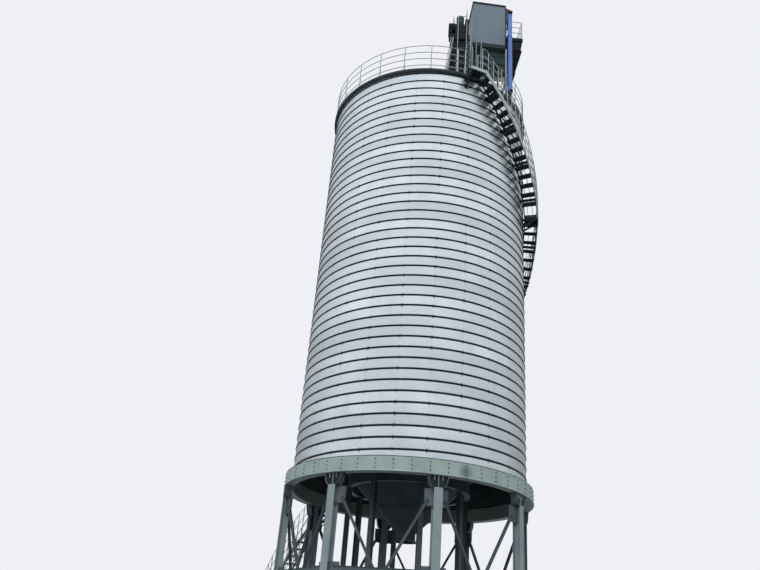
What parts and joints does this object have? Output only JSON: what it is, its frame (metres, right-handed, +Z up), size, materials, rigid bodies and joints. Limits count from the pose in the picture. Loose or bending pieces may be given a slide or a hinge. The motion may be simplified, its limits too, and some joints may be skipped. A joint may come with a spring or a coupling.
{
  "type": "grain silo",
  "caption": "Tall round galvanised grain silo on steel legs, with a cone bottom, a winding outside stair and head equipment on its roof.",
  "frame": {"origin": "on the silo's axis at ground level, the middle of the part's plan within the tolerance", "axes": "+Z up along the silo's axis, -Y towards the viewer, +X to the viewer's right"},
  "size_m": [9.3372, 8.8517, 27.4763],
  "materials": {
    "shell_steel": "galvanised strip, weathered, satin",
    "ring_paint": "grey-green paint, satin, a little stained",
    "leg_paint": "blue-grey paint, satin",
    "brace_paint": "dark grey paint, satin",
    "hopper_steel": "galvanised sheet, dull",
    "roof_steel": "weathered dark sheet",
    "rail_steel": "galvanised tube",
    "stair_paint": "light grey galvanised section",
    "house_cladding": "blue-grey trapezoid sheet, satin",
    "receiver_paint": "dark green-grey paint, satin",
    "machine_paint": "dark grey paint with grain dust",
    "motor_paint": "grey-green paint",
    "pipe_paint": "blue paint, satin"
  },
  "bodies": {
    "root": {"shell_wall_1": "shell_steel", "shell_wall_2": "shell_steel", "shell_wall_3": "shell_steel", "shell_wall_4": "shell_steel", "shell_wall_5": "shell_steel", "shell_wall_6": "shell_steel", "shell_wall_7": "shell_steel", "shell_wall_8": "shell_steel", "ring_girder_1": "ring_paint", "ring_girder_2": "ring_paint", "ring_girder_3": "ring_paint", "ring_girder_4": "ring_paint", "leg_1": "leg_paint", "leg_2": "leg_paint", "leg_3": "leg_paint", "leg_4": "leg_paint", "leg_5": "leg_paint", "leg_6": "leg_paint", "leg_7": "leg_paint", "leg_8": "leg_paint", "leg_bracing_1": "brace_paint", "leg_bracing_2": "brace_paint", "leg_bracing_3": "brace_paint", "leg_bracing_4": "brace_paint", "leg_bracing_5": "brace_paint", "leg_bracing_6": "brace_paint", "leg_bracing_7": "brace_paint", "leg_bracing_8": "brace_paint", "cone_bottom_1": "hopper_steel", "cone_bottom_2": "hopper_steel", "cone_bottom_3": "hopper_steel", "cone_bottom_4": "hopper_steel", "outlet_collar": "hopper_steel", "inner_frame": "leg_paint", "roof": "roof_steel", "roof_cap": "roof_steel", "roof_guardrail_1": "rail_steel", "roof_guardrail_2": "rail_steel", "stair_flight_1": "stair_paint", "stair_flight_2": "stair_paint", "stair_flight_3": "stair_paint", "stair_flight_4": "stair_paint", "stair_flight_5": "stair_paint", "stair_handrail_1": "rail_steel", "stair_handrail_2": "rail_steel", "stair_handrail_3": "rail_steel", "stair_handrail_4": "rail_steel", "stair_handrail_5": "rail_steel", "stair_inner_rail_4": "rail_steel", "stair_inner_rail_5": "rail_steel", "head_house": "house_cladding", "head_house_roof": "roof_steel", "head_hopper": "receiver_paint", "head_frame": "stair_paint", "head_deck": "machine_paint", "head_deck_rail": "rail_steel", "machine_stand": "stair_paint", "conveyor_head": "machine_paint", "drive_motor": "motor_paint", "riser_pipe": "pipe_paint"}
  },
  "joints": []
}
